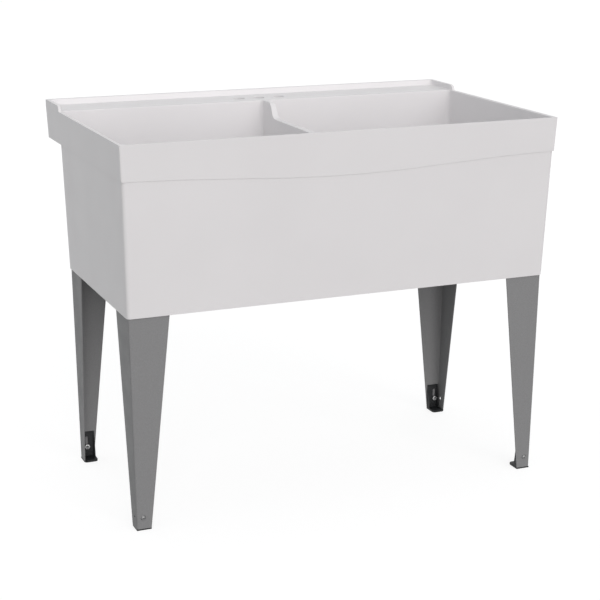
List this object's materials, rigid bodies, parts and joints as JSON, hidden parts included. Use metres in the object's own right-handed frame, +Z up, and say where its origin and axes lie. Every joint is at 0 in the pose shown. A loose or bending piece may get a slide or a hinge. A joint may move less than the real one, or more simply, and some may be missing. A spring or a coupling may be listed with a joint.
{
  "type": "utility laundry sink",
  "caption": "Free-standing laundry sink: a white moulded tub with two deep bowls and a faucet ledge, on tapered steel-angle legs with levelling feet.",
  "frame": {"origin": "on the floor, under the centre of the tub's outline", "axes": "+X to the right along the width, +Y from the front to the wall side, +Z up"},
  "size_m": [1.016, 0.61, 0.854],
  "materials": {
    "tub_moulding": "satin moulded white",
    "leg_paint": "satin grey metallic",
    "foot_plastic": "moulded black",
    "zinc_plated_steel": "bright zinc",
    "drain_steel": "polished stainless",
    "rubber": "matte black",
    "fibre": "pressed red fibre",
    "nut_plastic": "moulded white"
  },
  "bodies": {
    "sink": {"tub": "tub_moulding", "leg_front_left": "leg_paint", "leg_front_right": "leg_paint", "leg_back_left": "leg_paint", "leg_back_right": "leg_paint", "foot_bolt_front_left": "zinc_plated_steel", "foot_bolt_front_right": "zinc_plated_steel", "foot_bolt_back_left": "zinc_plated_steel", "foot_bolt_back_right": "zinc_plated_steel", "foot_nut_front_left": "zinc_plated_steel", "foot_nut_front_right": "zinc_plated_steel", "foot_nut_back_left": "zinc_plated_steel", "foot_nut_back_right": "zinc_plated_steel", "leg_screw_front_left_1": "zinc_plated_steel", "leg_screw_front_left_2": "zinc_plated_steel", "leg_screw_front_right_1": "zinc_plated_steel", "leg_screw_front_right_2": "zinc_plated_steel", "leg_screw_back_left_1": "zinc_plated_steel", "leg_screw_back_left_2": "zinc_plated_steel", "leg_screw_back_right_1": "zinc_plated_steel", "leg_screw_back_right_2": "zinc_plated_steel", "drain_body_left": "drain_steel", "drain_body_right": "drain_steel", "drain_gasket_left": "rubber", "drain_gasket_right": "rubber", "drain_washer_left": "fibre", "drain_washer_right": "fibre", "drain_locknut_left": "nut_plastic", "drain_locknut_right": "nut_plastic"},
    "levelling_foot_front_left": {"foot_front_left": "foot_plastic"},
    "levelling_foot_front_right": {"foot_front_right": "foot_plastic"},
    "levelling_foot_back_left": {"foot_back_left": "foot_plastic"},
    "levelling_foot_back_right": {"foot_back_right": "foot_plastic"},
    "plug_left": {"stopper_left": "rubber"},
    "plug_right": {"stopper_right": "rubber"}
  },
  "joints": [
    {"name": "foot_slide_front_left", "type": "slide", "parent": "sink", "child": "levelling_foot_front_left", "axis": [0, 0, -1], "range_m": [0, 0.022]},
    {"name": "foot_slide_front_right", "type": "slide", "parent": "sink", "child": "levelling_foot_front_right", "axis": [0, 0, -1], "range_m": [0, 0.022]},
    {"name": "foot_slide_back_left", "type": "slide", "parent": "sink", "child": "levelling_foot_back_left", "axis": [0, 0, -1], "range_m": [0, 0.022]},
    {"name": "foot_slide_back_right", "type": "slide", "parent": "sink", "child": "levelling_foot_back_right", "axis": [0, 0, -1], "range_m": [0, 0.022]},
    {"name": "stopper_lift_left", "type": "slide", "parent": "sink", "child": "plug_left", "axis": [0, 0, 1], "range_m": [0, 0.42]},
    {"name": "stopper_lift_right", "type": "slide", "parent": "sink", "child": "plug_right", "axis": [0, 0, 1], "range_m": [0, 0.42]}
  ]
}
